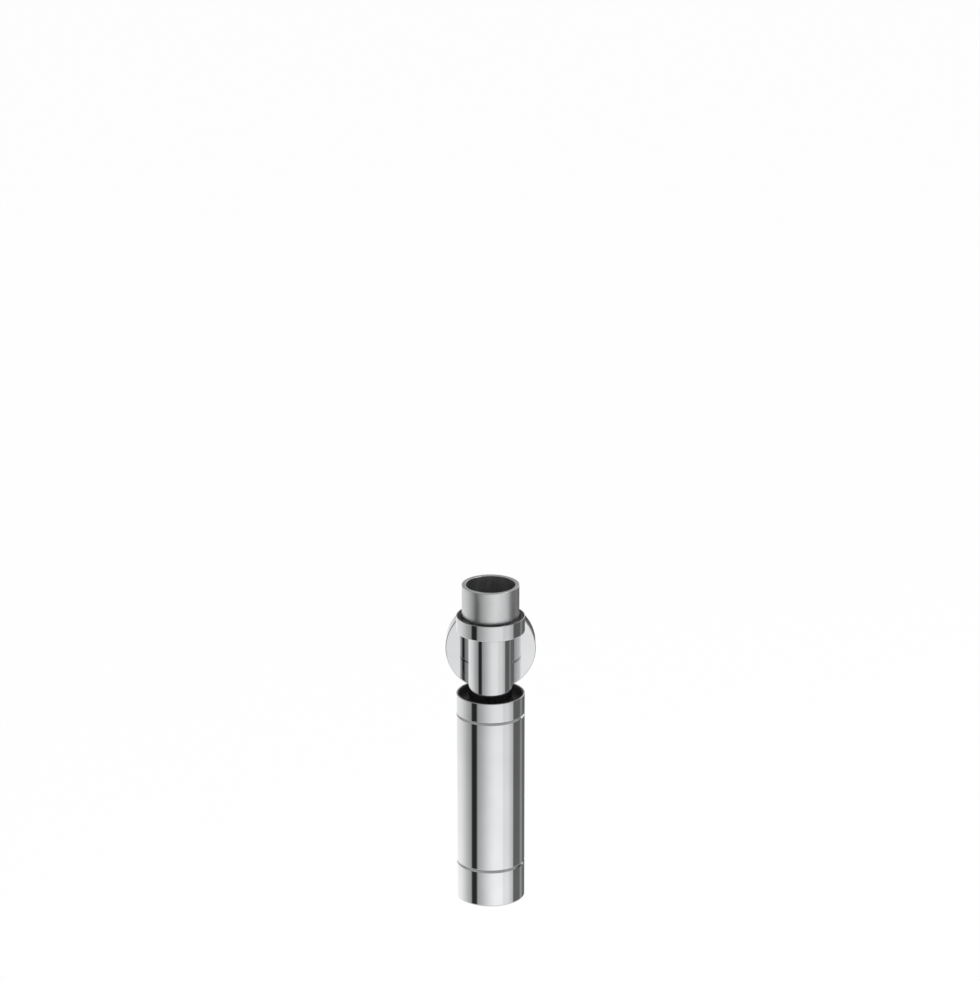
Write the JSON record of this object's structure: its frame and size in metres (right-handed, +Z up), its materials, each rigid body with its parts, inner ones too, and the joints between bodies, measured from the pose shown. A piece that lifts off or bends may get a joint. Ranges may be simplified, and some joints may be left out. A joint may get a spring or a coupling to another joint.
{
  "type": "bottle trap",
  "caption": "Chromed bottle trap for a washbasin: inlet tube on a union nut, bottle with a screw-off cup, and a horizontal outlet pipe with a wall rosette.",
  "frame": {"origin": "centre of the tailpiece's top face, on the inlet axis, where the basin waste holds the trap", "axes": "+Z up along the inlet axis, +Y along the outlet axis towards the wall, +X to the right seen from the room"},
  "size_m": [0.07, 0.288, 0.2439],
  "materials": {
    "chrome": "polished",
    "satin_chrome": "satin",
    "nickel": "nickel-plated brass, turned",
    "black_plastic": "moulded, fine matt",
    "nylon": "natural nylon",
    "rubber": "moulded"
  },
  "bodies": {
    "inlet": {"tailpiece": "satin_chrome", "inlet_washer": "rubber", "inlet_tube": "chrome"},
    "inlet_ring": {"inlet_slip_ring": "nylon"},
    "inlet_nut": {"inlet_nut_insert": "black_plastic", "inlet_nut_cover": "chrome"},
    "tube_grip": {"tube_seal": "rubber"},
    "bottle": {"dip_tube": "black_plastic", "neck_ring": "nickel", "bottle_shell": "chrome", "base_ring": "nickel", "outlet_socket": "chrome", "outlet_seal": "rubber"},
    "gland_ring": {"gland_slip_ring": "nylon"},
    "collar": {"gland_nut": "black_plastic", "collar_cover": "chrome"},
    "cup_ring": {"cup_gasket": "rubber"},
    "cup": {"cup": "chrome"},
    "outlet_ring": {"outlet_slip_ring": "nylon"},
    "outlet_nut": {"outlet_nut": "chrome"},
    "pipe": {"outlet_pipe": "chrome"},
    "rosette": {"rosette": "chrome", "rosette_grip_ring": "rubber"}
  },
  "joints": [
    {"name": "inlet_ring_drop", "type": "slide", "parent": "inlet", "child": "inlet_ring", "axis": [0, 0, -1], "range_m": [0, 0.0035]},
    {"name": "inlet_nut_turn", "type": "hinge", "parent": "inlet_ring", "child": "inlet_nut", "pos_m": [0, 0, -0.03], "axis": [0, 0, -1], "range_deg": [0, 540]},
    {"name": "height_slide", "type": "slide", "parent": "inlet", "child": "tube_grip", "axis": [0, 0, 1], "range_m": [-0.03, 0.035]},
    {"name": "swivel", "type": "hinge", "parent": "tube_grip", "child": "bottle", "pos_m": [0, 0, -0.13], "axis": [0, 0, 1], "continuous": true},
    {"name": "gland_ring_lift", "type": "slide", "parent": "bottle", "child": "gland_ring", "axis": [0, 0, 1], "range_m": [0, 0.0051]},
    {"name": "collar_turn", "type": "hinge", "parent": "gland_ring", "child": "collar", "pos_m": [0, 0, -0.09], "axis": [0, 0, 1], "range_deg": [0, 900]},
    {"name": "cup_ring_drop", "type": "slide", "parent": "bottle", "child": "cup_ring", "axis": [0, 0, -1], "range_m": [0, 0.0071]},
    {"name": "cup_turn", "type": "hinge", "parent": "cup_ring", "child": "cup", "pos_m": [0, 0, -0.22], "axis": [0, 0, -1], "range_deg": [0, 1260]},
    {"name": "outlet_ring_slide", "type": "slide", "parent": "bottle", "child": "outlet_ring", "axis": [0, 1, 0], "range_m": [0, 0.007]},
    {"name": "outlet_nut_turn", "type": "hinge", "parent": "outlet_ring", "child": "outlet_nut", "pos_m": [0, 0.05, -0.13], "axis": [0, 1, 0], "range_deg": [0, 1080]},
    {"name": "pipe_slide", "type": "slide", "parent": "bottle", "child": "pipe", "axis": [0, 1, 0], "range_m": [-0.005, 0.014]},
    {"name": "rosette_slide", "type": "slide", "parent": "pipe", "child": "rosette", "axis": [0, -1, 0], "range_m": [0, 0.12]}
  ],
  "couplings": [
    {"joint": "inlet_ring_drop", "follows": "inlet_nut_turn", "m_per_rad": 0.0003675},
    {"joint": "gland_ring_lift", "follows": "collar_turn", "m_per_rad": 0.0003183},
    {"joint": "cup_ring_drop", "follows": "cup_turn", "m_per_rad": 0.0003183},
    {"joint": "outlet_ring_slide", "follows": "outlet_nut_turn", "m_per_rad": 0.0003675}
  ]
}
